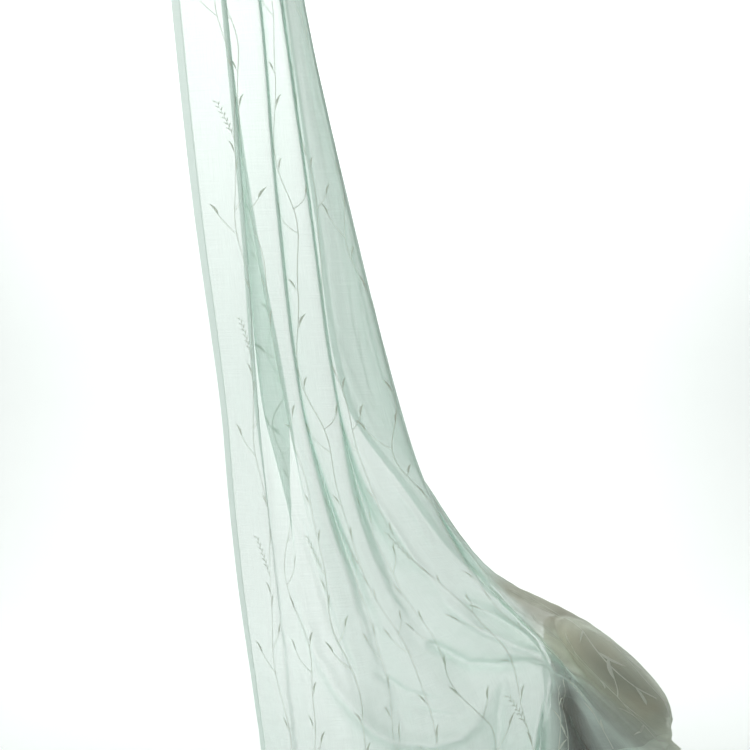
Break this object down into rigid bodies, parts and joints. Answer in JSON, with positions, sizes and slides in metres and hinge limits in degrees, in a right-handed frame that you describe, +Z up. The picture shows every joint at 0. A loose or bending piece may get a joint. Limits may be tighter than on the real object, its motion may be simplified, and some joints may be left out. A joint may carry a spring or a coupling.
{
  "type": "sheer voile curtain over a round stool",
  "caption": "Sheer embroidered voile curtain in soft pleats, hung from its gathered top edge, its lower right side drawn up over a round padded stool and its left side falling to the floor.",
  "frame": {"origin": "middle of the curtain's gathered top edge", "axes": "+Z up along the drop, +X to the right seen from the room, -Y towards the room"},
  "size_m": [1.2093, 0.344, 2.4422],
  "materials": {
    "voile": "matte",
    "seat_cover": "matte",
    "stool_wood": "satin"
  },
  "bodies": {
    "root": {"curtain": "voile", "stool_seat": "seat_cover", "stool_drum": "stool_wood"}
  },
  "joints": []
}
